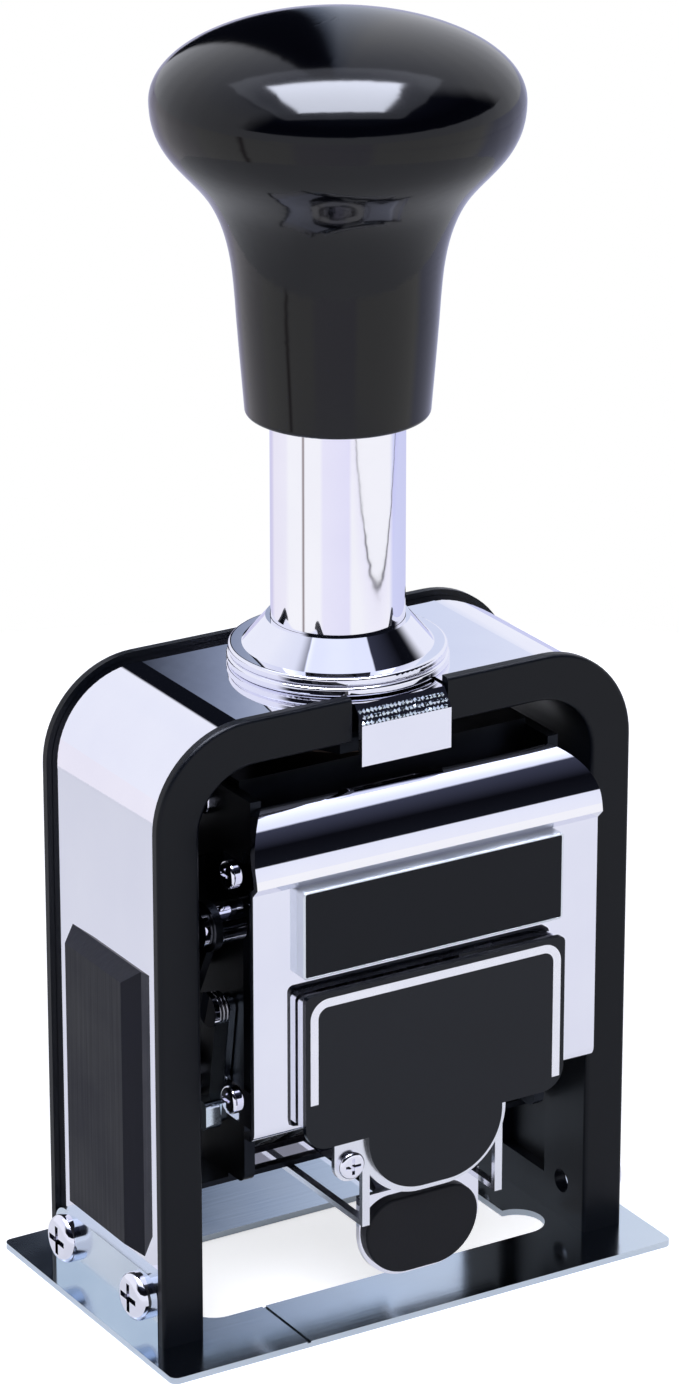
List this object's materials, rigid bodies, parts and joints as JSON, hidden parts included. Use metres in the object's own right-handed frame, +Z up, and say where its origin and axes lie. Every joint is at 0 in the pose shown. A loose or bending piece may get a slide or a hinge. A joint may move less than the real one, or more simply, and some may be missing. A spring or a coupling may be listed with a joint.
{
  "type": "numbering machine",
  "caption": "Self-inking desk numbering machine: sprung plunger knob over an arched frame, number wheels, swinging ink pad with shield, on a sheet base.",
  "frame": {"origin": "on the table under the plunger's axis, at the middle of the base plate", "axes": "+Z up along the plunger, -Y towards the front with the shield, +X to the right seen from the front"},
  "size_m": [0.07, 0.0438, 0.1536],
  "materials": {
    "black_enamel": "satin black enamel",
    "bright_chrome": "polished chrome plating",
    "nickel_sheet": "nickel plated sheet",
    "steel": "machined steel",
    "spring_steel": "drawn spring wire",
    "knob_black": "polished black plastic",
    "grip_rubber": "dull grey-black rubber",
    "shield_black": "gloss black enamel",
    "plate_black": "smooth black enamel",
    "silver_line": "silver inlay",
    "tab_plastic": "black plastic",
    "buffer_fibre": "fibre buffer",
    "ink_felt": "inked felt"
  },
  "bodies": {
    "stand": {"base_plate": "nickel_sheet", "frame": "black_enamel", "chrome_band": "bright_chrome", "side_grips": "grip_rubber", "base_screws": "bright_chrome", "collar": "bright_chrome", "collar_ring": "bright_chrome", "collar_nut": "steel", "spring_key": "steel", "spring_seat": "steel"},
    "plunger": {"knob": "knob_black", "plunger_tube": "bright_chrome", "tube_plug": "steel", "main_spring": "spring_steel", "bridge": "steel", "bridge_pin": "steel", "case_screws": "steel", "buffer_washer": "buffer_fibre", "side_plate_left": "steel", "side_plate_right": "steel", "guide_shoes": "steel", "tie_bars": "steel", "rear_cover": "bright_chrome", "front_cover": "bright_chrome", "name_plate": "plate_black", "cover_screws": "bright_chrome", "wheel_shaft": "steel", "shaft_clips": "steel", "shaft_bushes": "steel", "detent_comb": "spring_steel", "pivot_studs": "steel", "lever_screw": "steel"},
    "latch_button": {"latch": "bright_chrome"},
    "wheel_1": {"number_wheel_1": "steel", "ratchet_1": "steel"},
    "wheel_2": {"number_wheel_2": "steel", "ratchet_2": "steel"},
    "wheel_3": {"number_wheel_3": "steel", "ratchet_3": "steel"},
    "wheel_4": {"number_wheel_4": "steel", "ratchet_4": "steel"},
    "wheel_5": {"number_wheel_5": "steel", "ratchet_5": "steel"},
    "wheel_6": {"number_wheel_6": "steel", "ratchet_6": "steel"},
    "feed_rocker": {"feed_swing": "steel", "pawl_rod": "steel"},
    "pawl": {"feed_pawl": "steel"},
    "pad_frame": {"pad_cradle": "bright_chrome", "pad_bracket": "bright_chrome", "shield": "shield_black", "shield_trim": "silver_line", "shield_screw": "bright_chrome"},
    "pad_tray": {"pad_cassette": "bright_chrome", "handle_grip": "tab_plastic", "ink_pad": "ink_felt"},
    "repeat_setting": {"repeat_lever": "steel", "lever_spring": "spring_steel"}
  },
  "joints": [
    {"name": "plunge", "type": "slide", "parent": "stand", "child": "plunger", "axis": [0, 0, 1], "range_m": [-0.018, 0], "stiffness_N_per_m": 900, "springref_m": 0.008, "deforming": ["main_spring"]},
    {"name": "latch_press", "type": "slide", "parent": "stand", "child": "latch_button", "axis": [0, 1, 0], "range_m": [0, 0.0016], "stiffness_N_per_m": 250, "springref_m": -0.001},
    {"name": "wheel_1_turn", "type": "hinge", "parent": "plunger", "child": "wheel_1", "pos_m": [0, 0, 0.0291], "axis": [1, 0, 0], "continuous": true},
    {"name": "wheel_2_turn", "type": "hinge", "parent": "plunger", "child": "wheel_2", "pos_m": [0, 0, 0.0291], "axis": [1, 0, 0], "continuous": true},
    {"name": "wheel_3_turn", "type": "hinge", "parent": "plunger", "child": "wheel_3", "pos_m": [0, 0, 0.0291], "axis": [1, 0, 0], "continuous": true},
    {"name": "wheel_4_turn", "type": "hinge", "parent": "plunger", "child": "wheel_4", "pos_m": [0, 0, 0.0291], "axis": [1, 0, 0], "continuous": true},
    {"name": "wheel_5_turn", "type": "hinge", "parent": "plunger", "child": "wheel_5", "pos_m": [0, 0, 0.0291], "axis": [1, 0, 0], "continuous": true},
    {"name": "wheel_6_turn", "type": "hinge", "parent": "plunger", "child": "wheel_6", "pos_m": [0, 0, 0.0291], "axis": [1, 0, 0], "continuous": true},
    {"name": "feed_rock", "type": "hinge", "parent": "plunger", "child": "feed_rocker", "pos_m": [0, 0, 0.0291], "axis": [1, 0, 0], "range_deg": [0, 40]},
    {"name": "pawl_lift", "type": "hinge", "parent": "feed_rocker", "child": "pawl", "pos_m": [0, 0.01316, 0.02431], "axis": [1, 0, 0], "range_deg": [-10, 0], "stiffness_Nm_per_rad": 0.004, "springref_deg": 20.05},
    {"name": "pad_swing", "type": "hinge", "parent": "plunger", "child": "pad_frame", "pos_m": [0, -0.012, 0.0525], "axis": [1, 0, 0], "range_deg": [-63, 0]},
    {"name": "tray_draw", "type": "slide", "parent": "pad_frame", "child": "pad_tray", "axis": [0, -1, 0], "range_m": [0, 0.014]},
    {"name": "repeat_set", "type": "hinge", "parent": "plunger", "child": "repeat_setting", "pos_m": [-0.0215, -0.0105, 0.0412], "axis": [1, 0, 0], "range_deg": [0, 8]}
  ],
  "couplings": [
    {"joint": "feed_rock", "follows": "plunge", "rad_per_m": -38.78},
    {"joint": "pad_swing", "follows": "plunge", "rad_per_m": 61.08}
  ]
}
